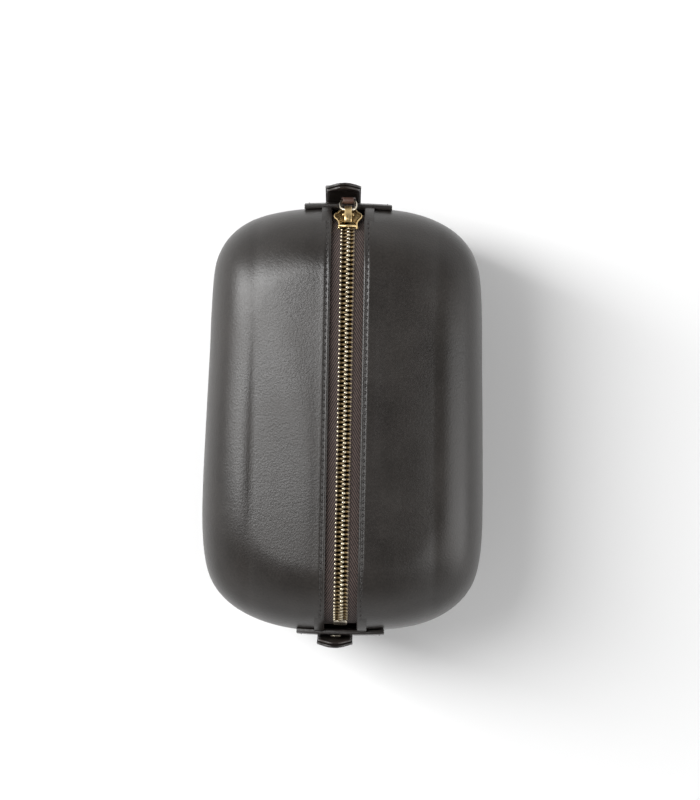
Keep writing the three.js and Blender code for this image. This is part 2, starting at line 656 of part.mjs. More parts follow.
const POCKET_X = -(HALF.x - LINING_DEPTH - LINING - POCKET_SPACE - POCKET_CLOTH);
const POCKET_TOP = HEIGHT - POCKET_DROP;
addPart('slip_pocket', box(
  [POCKET_X, -POCKET_HALF_LENGTH, POCKET_BOTTOM],
  [POCKET_X + POCKET_CLOTH, POCKET_HALF_LENGTH, POCKET_TOP]), LINING_LOOK);
addPart('pocket_binding', box(
  [POCKET_X - BINDING_SIDE, -POCKET_HALF_LENGTH, POCKET_TOP + GAP],
  [POCKET_X + POCKET_CLOTH + BINDING_SIDE, POCKET_HALF_LENGTH, POCKET_TOP + GAP + BINDING_TALL]), EDGE_LOOK);

export default group;
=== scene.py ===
import math

import bmesh
import bpy
import numpy as np
from mathutils import Matrix, Vector


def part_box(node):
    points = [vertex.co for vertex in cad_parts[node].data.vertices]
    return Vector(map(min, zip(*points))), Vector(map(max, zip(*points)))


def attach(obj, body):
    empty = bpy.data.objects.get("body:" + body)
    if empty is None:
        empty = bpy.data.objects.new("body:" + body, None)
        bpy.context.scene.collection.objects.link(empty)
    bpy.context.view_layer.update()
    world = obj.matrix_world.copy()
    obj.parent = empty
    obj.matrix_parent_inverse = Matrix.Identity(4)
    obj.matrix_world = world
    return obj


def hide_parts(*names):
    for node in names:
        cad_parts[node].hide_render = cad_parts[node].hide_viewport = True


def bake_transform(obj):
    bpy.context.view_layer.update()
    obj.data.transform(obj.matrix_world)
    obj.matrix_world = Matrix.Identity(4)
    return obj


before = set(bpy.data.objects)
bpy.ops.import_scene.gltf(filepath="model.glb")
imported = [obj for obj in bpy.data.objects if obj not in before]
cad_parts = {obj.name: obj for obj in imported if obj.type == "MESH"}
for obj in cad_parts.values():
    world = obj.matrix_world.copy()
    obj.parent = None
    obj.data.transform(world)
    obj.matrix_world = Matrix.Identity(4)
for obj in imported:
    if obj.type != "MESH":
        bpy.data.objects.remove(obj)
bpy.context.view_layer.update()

# Shaving kit bag. Shapes are worked out in millimetres, in the frame's own axes, and made in metres.
MM = 0.001


def box_mm(node):
    low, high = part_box(node)
    return np.array(low) / MM, np.array(high) / MM


# --- Driving sizes, read from the frame where it holds them ------------------------------------

SIDE_LOW, SIDE_HIGH = box_mm("side_panel_right")
HALF_X = SIDE_HIGH[0]                   # half width and half length over the leather
HALF_Y = SIDE_HIGH[1]
FOOT_Z = SIDE_LOW[2]                    # where the walls start, on the base
HEIGHT = 135.0
SIDE_POWER, END_POWER = 3.0, 6.0        # squareness of the plan outline
END_RADIUS = 39.0                       # rounding of the top towards each end
SHOULDER_WIDTH, SHOULDER_DROP = 27.0, 30.0
CROWN = 6.0
FOOT_TUCK, FOOT_HEIGHT = 1.5, 16.0
FLAT_X = HALF_X - SHOULDER_WIDTH
FLAT_Y = HALF_Y - END_RADIUS
EQUATOR = HEIGHT - END_RADIUS

LEATHER, GAP, TAPE = 2.2, 0.3, 0.8
LINING_DEPTH = LEATHER + GAP + TAPE + GAP
SLOT_HALF = box_mm("top_flap_right")[0][0]
STITCH_X = SLOT_HALF + 2.2              # stitch line beside the zip
STITCH_PITCH = 3.7
SLOT_DROP = 27.0
PATH_DEPTH = LEATHER + GAP + TAPE / 2   # the zip's own plane, below the leather's face
PATH_RADIUS = END_RADIUS - PATH_DEPTH
TOOTH_PITCH = 2.5
CHAIN_HALF = 4.0
TAPE_HALF = box_mm("zip_tape_right")[1][0]

SLOT_END_S = FLAT_Y + PATH_RADIUS * math.acos(1 - 25 / END_RADIUS)
SLIDER_S = SLOT_END_S - 9.4
SLIDER_ANGLE = (SLIDER_S - FLAT_Y) / PATH_RADIUS
CHAIN_LOW = -SLOT_END_S + 7
LOOP_START, LOOP_END = 3.0, 13.0        # along the slider, from its middle
LOOP_LIFT = math.sqrt((END_RADIUS + 5.26) ** 2 - LOOP_END ** 2) - PATH_RADIUS
CHAIN_HIGH = SLIDER_S + 4.5

PATCH_HALF, PATCH_THICK = 24.5, 2.5
PATCH_TOP, PATCH_BOTTOM = 28.0, 72.0
TAB_HALF, TAB_PLY, TAB_CUP = 10.0, 1.4, 2.4
TAB_ROOT, TAB_TOP, TAB_X = 52.0, 16.0, -3.0
TAB_LEAN = {"front": 1.4, "rear": 5.8}
TAB_BEND = 0.55
TAB_FACE = HALF_Y + 2 * GAP + PATCH_THICK
SIDES = (("left", -1), ("right", 1))
ENDS = (("front", -1), ("rear", 1))

rng = np.random.default_rng(7)


# --- Camera, light and floor -------------------------------------------------------------------

def make_camera():
    """Straight above the bag, a little off its middle, and rolled by about a degree."""
    camera = bpy.data.objects.new("camera", bpy.data.cameras.new("camera"))
    bpy.context.scene.collection.objects.link(camera)
    camera.data.lens = 92
    camera.data.sensor_width = 36
    camera.data.clip_end = 20
    camera.location = (0.0030, 0.0108, 1.25)
    camera.rotation_euler = (0, 0, math.radians(1.1))
    bpy.context.scene.camera = camera


def area_light(name, place, target, size, power, colour=(1, 1, 1)):
    light = bpy.data.objects.new(name, bpy.data.lights.new(name, "AREA"))
    light.data.shape = "RECTANGLE"
    light.data.size, light.data.size_y = size
    light.data.energy = power
    light.data.color = colour
    light.location = place
    light.rotation_euler = (Vector(target) - Vector(place)).to_track_quat("-Z", "Y").to_euler()
    bpy.context.scene.collection.objects.link(light)


def make_studio():
    bpy.context.scene.view_settings.view_transform = "Standard"
    world = bpy.data.worlds.new("studio")
    bpy.context.scene.world = world
    world.use_nodes = True
    tree = world.node_tree
    place = tree.nodes.new("ShaderNodeTexCoord")
    split = tree.nodes.new("ShaderNodeSeparateXYZ")
    ramp = tree.nodes.new("ShaderNodeValToRGB")
    tree.links.new(place.outputs["Generated"], split.inputs[0])
    tree.links.new(split.outputs[2], ramp.inputs["Fac"])
    tree.links.new(ramp.outputs["Color"], tree.nodes["Background"].inputs["Color"])
    for element, (height, grey) in zip(ramp.color_ramp.elements, ((0.15, 1.15), (0.8, 0.16))):
        element.position = height
        element.color = (grey, grey, grey, 1)
    area_light("key", (-0.85, 0.3, 1.12), (0, 0, 0.1), (0.42, 1.3), 24)
    area_light("fill", (1.5, -0.3, 1.0), (0, 0, 0.1), (0.8, 1.6), 12)
    bpy.ops.mesh.primitive_plane_add(size=8, location=(0, 0, 0))
    floor = bpy.context.object
    floor.name = "floor"
    floor.data.materials.append(plain_material("floor_white", (0.86, 0.86, 0.86), 0.7))


# --- Materials ---------------------------------------------------------------------------------

def plain_material(name, colour, roughness):
    material = bpy.data.materials.new(name)
    material.use_nodes = True
    shader = material.node_tree.nodes["Principled BSDF"]
    shader.inputs["Base Color"].default_value = (*colour, 1)
    shader.inputs["Roughness"].default_value = roughness
    return material


class Nodes:
    """A material and short ways to add nodes to it."""

    def __init__(self, name, scale=1000):
        self.material = bpy.data.materials.new(name)
        self.material.use_nodes = True
        self.tree = self.material.node_tree
        self.shader = self.tree.nodes["Principled BSDF"]
        place = self.tree.nodes.new("ShaderNodeTexCoord")
        mapping = self.tree.nodes.new("ShaderNodeMapping")
        mapping.inputs["Scale"].default_value = (scale,) * 3
        self.tree.links.new(place.outputs["Object"], mapping.inputs["Vector"])
        self.place = mapping.outputs["Vector"]

    def add(self, kind, **values):
        node = self.tree.nodes.new("ShaderNode" + kind)
        for key, value in values.items():
            setattr(node, key, value)
        return node

    def link(self, source, target):
        self.tree.links.new(source, target)

    def noise(self, scale, detail=3, rough=0.5, place=None):
        node = self.add("TexNoise")
        node.inputs["Scale"].default_value = scale
        node.inputs["Detail"].default_value = detail
        node.inputs["Roughness"].default_value = rough
        self.link(place or self.place, node.inputs["Vector"])
        return node.outputs["Fac"]

    def cells(self, scale, feature="F1"):
        node = self.add("TexVoronoi", feature=feature)
        node.inputs["Scale"].default_value = scale
        self.link(self.place, node.inputs["Vector"])
        return node.outputs["Distance"]

    def ramp(self, source, *stops):
        """Maps 0..1 to colours or greys, given as (position, colour)."""
        node = self.add("ValToRGB")
        while len(node.color_ramp.elements) < len(stops):
            node.color_ramp.elements.new(0.5)
        for element, (position, colour) in zip(node.color_ramp.elements, stops):
            grey = isinstance(colour, (int, float))
            element.position = position
            element.color = (colour, colour, colour, 1) if grey else (*colour, 1)
        self.link(source, node.inputs["Fac"])
        return node.outputs["Color"]

    def mix(self, factor, a, b, mode="MIX"):
        node = self.add("Mix", data_type="RGBA", blend_type=mode)
        for value, slot in ((factor, 0), (a, 6), (b, 7)):
            if isinstance(value, (int, float)):
                node.inputs[slot].default_value = value
            elif isinstance(value, tuple):
                node.inputs[slot].default_value = (*value, 1)
            else:
                self.link(value, node.inputs[slot])
        return node.outputs[2]

    def math(self, operation, a, b=0.0):
        node = self.add("Math", operation=operation)
        for value, slot in ((a, 0), (b, 1)):
            if isinstance(value, (int, float)):
                node.inputs[slot].default_value = value
            else:
                self.link(value, node.inputs[slot])
        return node.outputs[0]

    def bump(self, height, depth_mm, strength=1.0):
        node = self.add("Bump")
        node.inputs["Strength"].default_value = strength
        node.inputs["Distance"].default_value = depth_mm * MM
        self.link(height, node.inputs["Height"])
        if self.shader.inputs["Normal"].is_linked:
            self.link(self.shader.inputs["Normal"].links[0].from_socket, node.inputs["Normal"])
        self.link(node.outputs["Normal"], self.shader.inputs["Normal"])

    def colour(self, socket):
        self.link(socket, self.shader.inputs["Base Color"])

    def roughness(self, socket):
        self.link(socket, self.shader.inputs["Roughness"])


def leather_material(name, dark, light, rough=(0.31, 0.43), coat=0.06):
    """Smooth full-grain leather: soft mottling, fine pebbled grain, faint creases and a waxed face."""
    n = Nodes(name)
    mottle = n.noise(0.035, 4, 0.6)
    fine = n.noise(0.9, 3, 0.65)
    base = n.ramp(mottle, (0.3, dark), (0.72, light))
    speck = n.ramp(fine, (0.3, 0.72), (0.7, 1.18))
    n.colour(n.mix(1.0, base, speck, "MULTIPLY"))
    n.roughness(n.ramp(n.mix(0.5, fine, mottle), (0.3, rough[0]), (0.7, rough[1])))
    grain = n.ramp(n.cells(0.85), (0.0, 1.0), (0.75, 0.0))
    n.bump(grain, 0.06, 0.55)
    n.bump(n.noise(1.7, 4, 0.7), 0.07, 0.5)
    creases = n.ramp(n.noise(0.16, 6, 0.62), (0.46, 1.0), (0.5, 0.0), (0.54, 1.0))
    n.bump(creases, 0.05, 0.25)
    n.shader.inputs["Coat Weight"].default_value = coat
    n.shader.inputs["Coat Roughness"].default_value = 0.3
    n.shader.inputs["Specular IOR Level"].default_value = 0.5
    return n.material


def edge_material(name, dark, light):
    """Burnished leather edge: dark wax over stacked fibres."""
    n = Nodes(name)
    streaks = n.noise(2.2, 4, 0.7)
    n.colour(n.ramp(streaks, (0.3, dark), (0.75, light)))
    n.roughness(n.ramp(n.noise(1.1, 2), (0.3, 0.3), (0.7, 0.5)))
    n.bump(streaks, 0.08, 0.6)
    return n.material


def brass_material(name, dark, mid, bright, rough=(0.24, 0.42)):
    """Antique brass: brown in its hollows, polished where it is touched."""
    n = Nodes(name)
    worn = n.add("NewGeometry").outputs["Pointiness"]
    edges = n.ramp(worn, (0.44, 0.0), (0.56, 1.0))
    patches = n.noise(0.45, 4, 0.6)
    base = n.mix(n.ramp(patches, (0.35, 0.0), (0.7, 1.0)), dark, mid)
    n.colour(n.mix(edges, base, bright))
    n.roughness(n.ramp(n.noise(1.4, 3), (0.3, rough[0]), (0.7, rough[1])))
    n.bump(n.noise(3.0, 3), 0.02, 0.5)
    n.shader.inputs["Metallic"].default_value = 1.0
    return n.material


def tooth_material(name, dark, mid, bright):
    """Aged brass teeth: olive brown, and cream where the mesh says so: partly polished by the slider,
    partly a painted highlight.
    """
    n = Nodes(name)
    patches = n.ramp(n.noise(0.5, 3, 0.6), (0.35, 0.0), (0.68, 1.0))
    polish_and_highlight = n.add("Attribute", attribute_name="polish_and_highlight").outputs["Fac"]
    # cream where the mesh's value is high: worn polish plus a painted highlight
    n.colour(n.mix(polish_and_highlight, n.mix(patches, dark, mid), bright))
    n.roughness(n.ramp(polish_and_highlight, (0.1, 0.5), (0.9, 0.24)))
    n.bump(n.noise(3.0, 3), 0.02, 0.5)
    n.shader.inputs["Metallic"].default_value = 1.0
    return n.material


def weave_material(name, warp, weft, pitch_mm):
    """Plain woven cotton, from two crossed waves."""
    n = Nodes(name)
    split = n.add("SeparateXYZ")
    n.link(n.place, split.inputs[0])
    scale = 2 * math.pi / pitch_mm
    along = n.math("SINE", n.math("MULTIPLY", split.outputs[1], scale))
    across = n.math("SINE", n.math("MULTIPLY", n.math("ADD", split.outputs[0], split.outputs[2]), scale))
    weave = n.math("ADD", n.math("MULTIPLY", n.math("MULTIPLY", along, across), 0.5), 0.5)
    base = n.mix(weave, warp, weft)
    n.colour(n.mix(1.0, base, n.ramp(n.noise(0.05, 4), (0.3, 0.8), (0.7, 1.1)), "MULTIPLY"))
    n.bump(weave, 0.12, 0.7)
    n.shader.inputs["Roughness"].default_value = 0.9
    n.shader.inputs["Sheen Weight"].default_value = 0.15
    return n.material


def tape_material(name, dark, light):
    """Herringbone twill: ribs that run down and away from the teeth, from the strip's own UV in mm."""
    n = Nodes(name)
    uv = n.add("UVMap", uv_map="strip")
    split = n.add("SeparateXYZ")
    n.link(uv.outputs[0], split.inputs[0])
    slant = n.math("ADD", split.outputs[1], n.math("MULTIPLY", split.outputs[0], 1.9))
    rib = n.math("SINE", n.math("MULTIPLY", slant, 2 * math.pi * MM_UV / 2.5))
    thread = n.math("SINE", n.math("MULTIPLY", split.outputs[0], 2 * math.pi * MM_UV / 0.55))
    height = n.math("ADD", n.math("MULTIPLY", rib, 0.42), 0.5)
    both = n.math("ADD", height, n.math("MULTIPLY", thread, 0.06))
    # the colour follows the rib height: painted shade in the valleys between ribs, painted highlight on
    # their crests
    base = n.ramp(both, (0.2, dark), (0.8, light))
    n.colour(n.mix(1.0, base, n.ramp(n.noise(0.4, 3), (0.3, 0.8), (0.7, 1.15)), "MULTIPLY"))
    n.bump(both, 0.22, 0.9)
    n.shader.inputs["Roughness"].default_value = 0.82
    n.shader.inputs["Sheen Weight"].default_value = 0.1
    return n.material


def thread_material(name, dark, light):
    n = Nodes(name)
    twist = n.noise(2.6, 2, 0.6)
    n.colour(n.ramp(twist, (0.3, dark), (0.7, light)))
    n.bump(twist, 0.1, 0.7)
    n.shader.inputs["Roughness"].default_value = 0.45
    return n.material


def board_material(name):
    n = Nodes(name)
    fibres = n.noise(0.8, 5, 0.7)
    n.colour(n.ramp(fibres, (0.3, (0.12, 0.09, 0.06)), (0.7, (0.22, 0.17, 0.11))))
    n.bump(fibres, 0.1, 0.5)
    n.shader.inputs["Roughness"].default_value = 0.9
    return n.material


MM_UV = 100.0                           # UV units per strip unit: 1 UV unit is 100 mm

LOOKS = {
    "leather": leather_material("leather", (0.0115, 0.0092, 0.0076), (0.0215, 0.018, 0.0155)),
    "leather_dark": leather_material("leather_dark", (0.009, 0.0072, 0.006), (0.018, 0.0145, 0.0125)),
    "edge": edge_material("burnished_edge", (0.008, 0.006, 0.005), (0.045, 0.034, 0.028)),
    "rust": leather_material("strap_leather", (0.05, 0.024, 0.017), (0.11, 0.055, 0.04), (0.45, 0.6), 0.03),
    "brass": brass_material("antique_brass", (0.09, 0.05, 0.016), (0.26, 0.165, 0.06), (0.75, 0.56, 0.28)),
    # the teeth's bright cream is partly worn polish and partly painted highlight
    "teeth": tooth_material("tooth_brass", (0.075, 0.048, 0.02), (0.15, 0.105, 0.05), (1.0, 0.9, 0.68)),
    "loop": brass_material("worn_brass", (0.16, 0.13, 0.09), (0.34, 0.29, 0.22), (0.68, 0.62, 0.5)),
    "tape": tape_material("zip_tape_twill", (0.009, 0.0055, 0.005), (0.085, 0.056, 0.048)),
    "thread": thread_material("waxed_thread", (0.004, 0.003, 0.0028), (0.02, 0.015, 0.013)),
    "lining": weave_material("cotton_lining", (0.2, 0.145, 0.085), (0.33, 0.25, 0.16), 1.1),
    "board": board_material("fibre_board"),
}


# --- Meshes ------------------------------------------------------------------------------------

def make_piece(name, verts, faces, look, smooth=True):
    mesh = bpy.data.meshes.new(name)
    mesh.from_pydata([tuple(v) for v in np.asarray(verts, float) * MM], [], faces)
    mesh.validate()
    mesh.polygons.foreach_set("use_smooth", [smooth] * len(mesh.polygons))
    mesh.materials.append(LOOKS[look])
    piece = bpy.data.objects.new(name, mesh)
    bpy.context.scene.collection.objects.link(piece)
    return piece


def outward(piece):
    """Makes the faces of closed bodies point out."""
    bm = bmesh.new()
    bm.from_mesh(piece.data)
    bmesh.ops.recalc_face_normals(bm, faces=bm.faces)
    bm.to_mesh(piece.data)
    bm.free()
    return piece


def lofted(rings, first=0, capped=True, closed=False):
    """Vertices and faces of a body from rings of points. Ends are capped, or joined in a closed run."""
    rings = np.asarray(rings, float)
    runs, count = rings.shape[:2]
    faces = []
    for r in range(runs if closed else runs - 1):
        for i in range(count):
            a, b = r * count + i, r * count + (i + 1) % count
            c, d = ((r + 1) % runs) * count + (i + 1) % count, ((r + 1) % runs) * count + i
            faces.append((first + a, first + b, first + c, first + d))
    if capped and not closed:
        faces.append(tuple(first + i for i in range(count))[::-1])
        faces.append(tuple(first + (runs - 1) * count + i for i in range(count)))
    return rings.reshape(-1, 3), faces


def joined(parts):
    """One list of vertices and faces from several (rings, options) bodies."""
    verts, faces = [], []
    for rings, options in parts:
        v, f = lofted(rings, len(verts), **options)
        verts.extend(v)
        faces.extend(f)
    return verts, faces


def round_section(half_a, half_b, power=2.0, count=12):
    """A closed section: an ellipse at power 2, squarer above it."""
    t = np.linspace(0, 2 * math.pi, count, endpoint=False)
    a = np.sign(np.cos(t)) * np.abs(np.cos(t)) ** (2 / power) * half_a
    b = np.sign(np.sin(t)) * np.abs(np.sin(t)) ** (2 / power) * half_b
    return np.stack([a, b], 1)


# --- Shape of the body -------------------------------------------------------------------------

def end_share(x):
    """How far the plan outline reaches along Y at x, as a share of its reach at the middle."""
    x = np.minimum(np.abs(x) / HALF_X, 1)
    return (1 - x ** SIDE_POWER) ** (1 / END_POWER)


def top_height(x):
    return HEIGHT - CROWN * np.minimum(np.abs(x) / FLAT_X, 1) ** 2


def smooth_step(t):
    t = np.clip(t, 0, 1)
    return t * t * (3 - 2 * t)


def half_outline(count):
    """Points from the front seam round the right side to the rear seam, as shares of the half sizes."""
    t = np.linspace(-math.pi / 2, math.pi / 2, 6001)
    c = np.abs(np.cos(t)) ** (2 / SIDE_POWER)
    s = np.sign(np.sin(t)) * np.abs(np.sin(t)) ** (2 / END_POWER)
    steps = np.hypot(np.diff(c) * HALF_X, np.diff(s) * HALF_Y)
    reach = np.concatenate([[0], np.cumsum(steps)])
    at = np.linspace(0, reach[-1], count)
    return np.stack([np.interp(at, reach, c), np.interp(at, reach, s)], 1)


def body_rings(shares, depth, wall_heights, dome_steps, top_shares):
    """Rings of the body's right half at a depth inside the leather's face, from foot to top."""
    cx, cy = shares[:, 0], shares[:, 1]
    rings = []
    for z in wall_heights:
        tuck = FOOT_TUCK * (1 - smooth_step((z - 4.4) / (FOOT_HEIGHT - 4.4)))
        rings.append(np.stack([cx * (HALF_X - depth - tuck), cy * (HALF_Y - depth - tuck),
                               np.full_like(cx, z)], 1))
    for step in range(dome_steps + 1):
        angle = math.pi / 2 * step / dome_steps
        x = cx * (FLAT_X + (SHOULDER_WIDTH - depth) * math.cos(angle))
        y = cy * (FLAT_Y + (END_RADIUS - depth) * math.cos(angle))
        drop = SHOULDER_DROP + (END_RADIUS - SHOULDER_DROP) * cy ** 6 - depth
        rings.append(np.stack([x, y, top_height(x) - depth - drop * (1 - math.sin(angle))], 1))
    for share in top_shares:
        x = cx * FLAT_X * share
        rings.append(np.stack([x, cy * FLAT_Y * share, top_height(x) - depth], 1))
    return np.array(rings)


def beside_zip(s, x, lift):
    """A point beside the zip: s along it from the middle, x across, lift above its own plane."""
    past = max(abs(s) - FLAT_Y, 0)
    angle = past / PATH_RADIUS
    radius = PATH_RADIUS + lift
    y = min(abs(s), FLAT_Y) + radius * math.sin(angle)
    z = top_height(x) - (END_RADIUS - radius * math.cos(angle))
    return (x, math.copysign(y, s) * float(end_share(x)), z)


def mouth_blend(piece):
    """Bakes the piece's placement into its mesh."""
    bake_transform(piece)


# --- Leather halves ----------------------------------------------------------------------------

BAND_X = 18.0                           # the band beside the zip has its own finer columns


def cut_body(rings, seam, slot, slot_floor):
    """The right half as a mesh, cut back from the centre seam and from the zip's slot."""
    runs, count = rings.shape[:2]
    bm = bmesh.new()
    verts = [bm.verts.new(p) for p in rings.reshape(-1, 3)]
    for r in range(runs - 1):
        for i in range(count - 1):
            a = r * count + i
            bm.faces.new((verts[a], verts[a + 1], verts[a + count + 1], verts[a + count]))

    def cut(place, normal, clear=False):
        everything = bm.verts[:] + bm.edges[:] + bm.faces[:]
        bmesh.ops.bisect_plane(bm, geom=everything, plane_co=place, plane_no=normal, clear_inner=clear)

    cut((slot, 0, 0), (1, 0, 0))
    cut((0, 0, slot_floor), (0, 0, 1))
    inside = [f for f in bm.faces
              if f.calc_center_median().x < slot and f.calc_center_median().z > slot_floor]
    bmesh.ops.delete(bm, geom=inside, context="FACES")
    cut((seam, 0, 0), (1, 0, 0), True)
    bmesh.ops.remove_doubles(bm, verts=bm.verts, dist=0.002)
    return bm


def band_profile():
    """Columns of the band beside the slot: (x, lift from the leather's face). The edge is turned under."""
    rise = [(17, 0.0), (16, 0.02), (15, 0.05), (14, 0.1), (13.2, 0.16), (12.5, 0.2), (12.0, 0.16),
            (11.65, 0.02), (11.4, -0.2), (11.2, -0.3), (11.0, -0.2), (10.7, 0.05), (10.3, 0.2),
            (9.9, 0.22), (9.5, 0.12), (9.2, -0.08), (9.02, -0.4), (8.96, -0.85), (9.02, -1.3),
            (9.2, -1.7), (9.6, -1.95), (10.4, -2.05), (12, -2.1), (14.5, -2.1)]
    return [(x - 9 + SLOT_HALF, lift) for x, lift in rise]


def add_band(bm, slot_floor):
    """Grows the fine band inwards from the cut edge at BAND_X."""
    edge = [v for v in bm.verts if abs(v.co.x - BAND_X) < 1e-3 and v.co.z > slot_floor - 1e-3]

    def run(v):
        z = v.co.z - top_height(v.co.x) + HEIGHT
        turn = math.atan2(max(abs(v.co.y) - FLAT_Y, 0), z - EQUATOR)
        return math.copysign(min(abs(v.co.y), FLAT_Y) + END_RADIUS * turn, v.co.y)

    edge.sort(key=run)
    columns = [edge]
    for x, lift in band_profile():
        column = []
        for v in edge:
            y = v.co.y * end_share(x) / end_share(BAND_X)
            z = v.co.z + top_height(x) - top_height(BAND_X)
            past = abs(y) - FLAT_Y * end_share(x)
            turn = math.atan2(max(past, 0), max(z - top_height(x) + END_RADIUS, 1e-6))
            column.append(bm.verts.new((x, y + math.copysign(lift * math.sin(turn), y),
                                        z + lift * math.cos(turn))))
        columns.append(column)
    for a, b in zip(columns, columns[1:]):
        for i in range(len(edge) - 1):
            bm.faces.new((a[i], a[i + 1], b[i + 1], b[i]))


def settle(co, seed):
    """Soft unevenness of worn leather: a gentle swell and a few broad hollows."""
    local = np.random.default_rng(seed)
    move = np.zeros(len(co))
    for _ in range(14):
        wave = local.normal(0, 1, 3) * np.array([0.035, 0.022, 0.035])
        move += np.sin(co @ wave * 2 + local.uniform(0, 6.28)) * local.uniform(0.03, 0.12)
    quiet = smooth_step((np.abs(co[:, 0]) - 12) / 12) * smooth_step((co[:, 2] - 4) / 10)
    return move * quiet


BULGE_Y = (-119, -108, -95, -60, -10, 40, 70, 92, 104, 119)
BULGE_X = (-1.0, 0.5, 2.8, 2.1, 1.0, -0.4, -0.3, 1.4, 0.3, -1.5)


def bulge(co):
    """The filled bag: fuller at the front, drawn in behind the middle, and firm at its four corners."""
    spread = [np.interp(co[:, 1] + step, BULGE_Y, BULGE_X) for step in (-9, -6, -3, 0, 3, 6, 9)]
    reach = smooth_step((np.abs(co[:, 0]) - 25) / 50) * smooth_step((co[:, 2] - 8) / 50)
    moved = co.copy()
    moved[:, 0] += np.sign(co[:, 0]) * reach * np.mean(spread, 0)
    return moved


def object_from(bm, name, look, side):
    mesh = bpy.data.meshes.new(name)
    for v in bm.verts:
        v.co.x *= side
    if side < 0:
        bmesh.ops.reverse_faces(bm, faces=bm.faces)
    bm.to_mesh(mesh)
    bm.free()
    piece = bpy.data.objects.new(name, mesh)
    bpy.context.scene.collection.objects.link(piece)
    mesh.materials.append(LOOKS[look])
    mesh.polygons.foreach_set("use_smooth", [True] * len(mesh.polygons))
    return piece


def to_metres(piece):
    co = np.array([v.co for v in piece.data.vertices])
    piece.data.vertices.foreach_set("co", (co * MM).astype(np.float32).ravel())
    piece.data.update()
    return piece


def move_along_normals(piece, amounts):
    """Moves each vertex along its normal, then bulges. The mesh is still in millimetres."""
    normals = np.array([v.normal for v in piece.data.vertices])
    co = np.array([v.co for v in piece.data.vertices])
    moved = bulge(co + normals * amounts[:, None])
    piece.data.vertices.foreach_set("co", moved.astype(np.float32).ravel())
    piece.data.update()


def wall_heights(low, steps):
    foot = [low, low + 0.7, 4.4, 6, 8, 10.5, 13, FOOT_HEIGHT]
    return [z for z in foot if z >= low] + list(np.linspace(FOOT_HEIGHT, EQUATOR, steps)[1:-1])


def leather_half(name, side):
    shares = half_outline(180)
    rings = body_rings(shares, 0, wall_heights(FOOT_Z, 22), 26, np.linspace(0.96, 0.34, 12))
    slot_floor = HEIGHT - SLOT_DROP
    bm = cut_body(rings, GAP / 2, BAND_X, slot_floor)
    add_band(bm, slot_floor)
    bmesh.ops.recalc_face_normals(bm, faces=bm.faces)
    top = max(bm.faces, key=lambda f: f.calc_center_median().z)
    if top.normal.z < 0:
        bmesh.ops.reverse_faces(bm, faces=bm.faces)
    piece = object_from(bm, f"leather_half_{name}", "leather", side)
    co = np.array([v.co for v in piece.data.vertices])
    move_along_normals(piece, settle(co, 11 + side))
    to_metres(piece)
    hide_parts(f"top_flap_{name}", f"side_panel_{name}")
    mouth_blend(piece)


def lining_half(name, side):
    shares = half_outline(90)
    low = box_mm(f"lining_{name}")[0][2]
    rings = body_rings(shares, LINING_DEPTH + 0.4, wall_heights(low, 10), 12, np.linspace(0.9, 0.2, 8))
    bm = cut_body(rings, GAP, SLOT_HALF + 1.2, HEIGHT - SLOT_DROP - 2)
    bmesh.ops.recalc_face_normals(bm, faces=bm.faces)
    piece = object_from(bm, f"lining_half_{name}", "lining", side)
    co = np.array([v.co for v in piece.data.vertices])
    local = np.random.default_rng(31 + side)
    slack = np.zeros(len(co))
    for _ in range(10):
        wave = local.normal(0, 1, 3) * np.array([0.05, 0.05, 0.09])
        slack += np.sin(co @ wave * 2 + local.uniform(0, 6.28)) * 0.12
    move_along_normals(piece, slack - 0.2)
    to_metres(piece)
    solid = piece.modifiers.new("cloth", "SOLIDIFY")
    solid.thickness = 0.6 * MM
    solid.offset = 0
    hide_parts(f"lining_{name}", f"flap_lining_{name}")
    mouth_blend(piece)


# --- Stitches ----------------------------------------------------------------------------------

def stitch_rings(middle, along, across, up, length, width, height):
    """One stitch: a lens-shaped length of thread, pressed into the leather at both ends."""
    rings = []
    for t in (-1, -0.8, -0.4, 0, 0.4, 0.8, 1):
        swell = math.sqrt(max(1 - t * t, 0.02))
        section = round_section(width / 2 * max(swell, 0.35), height / 2 * max(swell, 0.3), 2, 8)
        centre = middle + along * (t * length / 2) + up * (height * 0.5 * (swell - 0.6))
        rings.append([centre + across * a + up * b for a, b in section])
    return rings


def stitch_row(points, normals, look_length=2.5, width=0.95, height=0.8, slant=0.16):
    """Stitches between each two points, leaning a little, as a saddle stitch does."""
    parts = []
    for (p, q), up in zip(zip(points, points[1:]), normals):
        p, q, up = np.array(p, float), np.array(q, float), np.array(up, float)
        along = (q - p) / np.linalg.norm(q - p)
        across = np.cross(along, up)
        leaning = along * math.cos(slant) + across * math.sin(slant)
        parts.append((stitch_rings((p + q) / 2, leaning, np.cross(leaning, up), up,
                                   look_length, width, height), {}))
    return parts


def end_normal(y_sign, turn):
    return (0, y_sign * math.sin(turn), math.cos(turn))


def zip_stitches(name, side):
    last = FLAT_Y + END_RADIUS * math.acos(1 - (PATCH_TOP - 1.5) / END_RADIUS)
    count = int(2 * last / STITCH_PITCH)
    spots = np.linspace(-last, last, count + 1)
    points, normals = [], []
    for s in spots:
        turn = max(abs(s) - FLAT_Y, 0) / END_RADIUS
        radius = END_RADIUS - 0.12
        y = math.copysign(min(abs(s), FLAT_Y) + radius * math.sin(turn), s)
        points.append((side * STITCH_X, y, top_height(STITCH_X) - END_RADIUS + radius * math.cos(turn)))
        normals.append(end_normal(math.copysign(1, s), turn))
    verts, faces = joined(stitch_row(points, normals, slant=0.42 * side))
    piece = outward(make_piece(f"zip_stitches_{name}", verts, faces, "thread"))
    mouth_blend(piece)


# --- Zip ---------------------------------------------------------------------------------------

